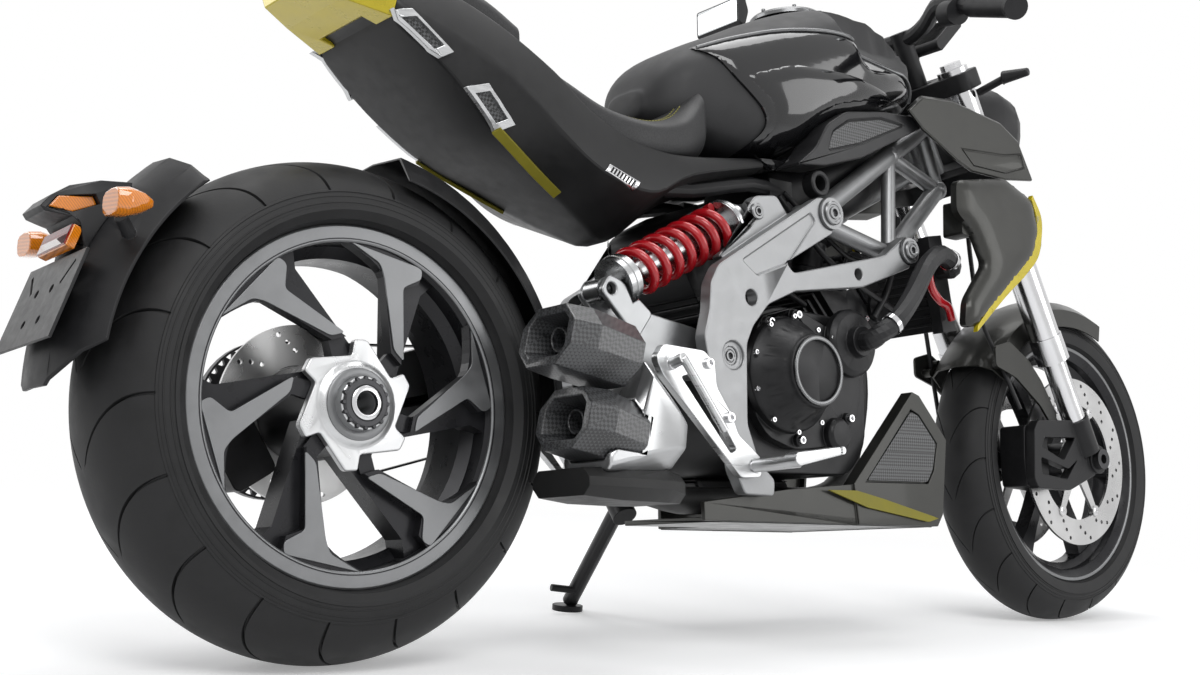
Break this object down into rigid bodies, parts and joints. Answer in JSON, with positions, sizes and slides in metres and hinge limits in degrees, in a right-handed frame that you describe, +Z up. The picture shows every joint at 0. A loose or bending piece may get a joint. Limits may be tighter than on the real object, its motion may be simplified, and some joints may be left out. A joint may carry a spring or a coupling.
{
  "type": "power cruiser motorcycle",
  "caption": "Two-wheeled power cruiser motorcycle leaning on its side stand, with tubular frame, V-twin engine, single-sided rear arm and turning wheels, steering and stand.",
  "frame": {"origin": "middle of the whole part's box, on the ground that it stands on", "axes": "+X towards the front wheel, +Y to the rider's left, +Z up; the machine leans to +Y on its side stand"},
  "size_m": [2.283, 0.7954, 1.2443],
  "materials": {
    "tyre": "matte rubber",
    "rim_grey": "satin",
    "rim_black": "satin",
    "bright_metal": "machined",
    "disc_steel": "ground",
    "dark_steel": "oiled",
    "arm_grey": "satin",
    "black_cast": "satin",
    "shock_metal": "satin",
    "spring_red": "gloss",
    "frame_silver": "satin metallic",
    "black_plastic": "grained",
    "engine_black": "satin",
    "exhaust_black": "heat-proof matte",
    "carbon": "carbon weave",
    "panel_grey": "satin metallic",
    "panel_dark": "satin",
    "hose": "smooth",
    "tank_black": "gloss",
    "leather": "grained with stitching",
    "yellow": "satin",
    "lamp_amber": "clear",
    "chrome": "polished"
  },
  "bodies": {
    "chassis": {"silencer_body": "bright_metal", "rearsets": "bright_metal", "chain": "dark_steel", "swingarm": "arm_grey", "rear_caliper": "black_cast", "shock_body": "shock_metal", "shock_spring": "spring_red", "trellis_frame": "frame_silver", "frame_plates": "frame_silver", "seat_rails": "black_plastic", "rear_hugger": "black_plastic", "rear_mudguard": "black_plastic", "radiator": "black_plastic", "engine_block": "engine_black", "engine_cylinders": "engine_black", "engine_covers": "engine_black", "exhaust_pipes": "exhaust_black", "exhaust_tips": "carbon", "belly_pan": "panel_grey", "radiator_shrouds": "panel_grey", "upper_shrouds": "panel_grey", "tail_panels": "panel_grey", "side_panels": "panel_dark", "coolant_hoses": "hose", "tank": "tank_black", "seat": "leather", "tail_cap": "yellow", "rear_lamps": "lamp_amber"},
    "rear_wheel": {"rear_tyre": "tyre", "rear_rim": "rim_grey", "rear_hub": "bright_metal", "rear_disc": "disc_steel", "rear_sprocket": "dark_steel"},
    "front_assembly": {"triple_clamps": "black_cast", "fork_tubes": "chrome", "fork_lugs": "black_cast", "front_calipers": "black_cast", "front_fender": "panel_grey", "headlight": "black_plastic", "instrument": "black_plastic", "handlebar": "black_plastic", "mirrors": "black_plastic", "front_axle": "dark_steel"},
    "front_wheel": {"front_tyre": "tyre", "front_rim": "rim_black", "front_discs": "disc_steel"},
    "side_stand": {"side_stand": "black_cast"}
  },
  "joints": [
    {"name": "rear_wheel_spin", "type": "hinge", "parent": "chassis", "child": "rear_wheel", "pos_m": [-0.75053, -0.09391, 0.32216], "axis": [0, 0.9903, -0.1392], "continuous": true},
    {"name": "steering", "type": "hinge", "parent": "chassis", "child": "front_assembly", "pos_m": [0.5199, -0.0233, 0.82457], "axis": [-0.454, 0.124, 0.8823], "range_deg": [-32, 32]},
    {"name": "front_wheel_spin", "type": "hinge", "parent": "front_assembly", "child": "front_wheel", "pos_m": [0.84147, -0.09734, 0.29775], "axis": [0, 0.9903, -0.1392], "continuous": true},
    {"name": "side_stand_swing", "type": "hinge", "parent": "chassis", "child": "side_stand", "pos_m": [-0.15053, 0.00736, 0.19483], "axis": [0.0858, 0.7271, 0.6811], "range_deg": [0, 90]}
  ]
}
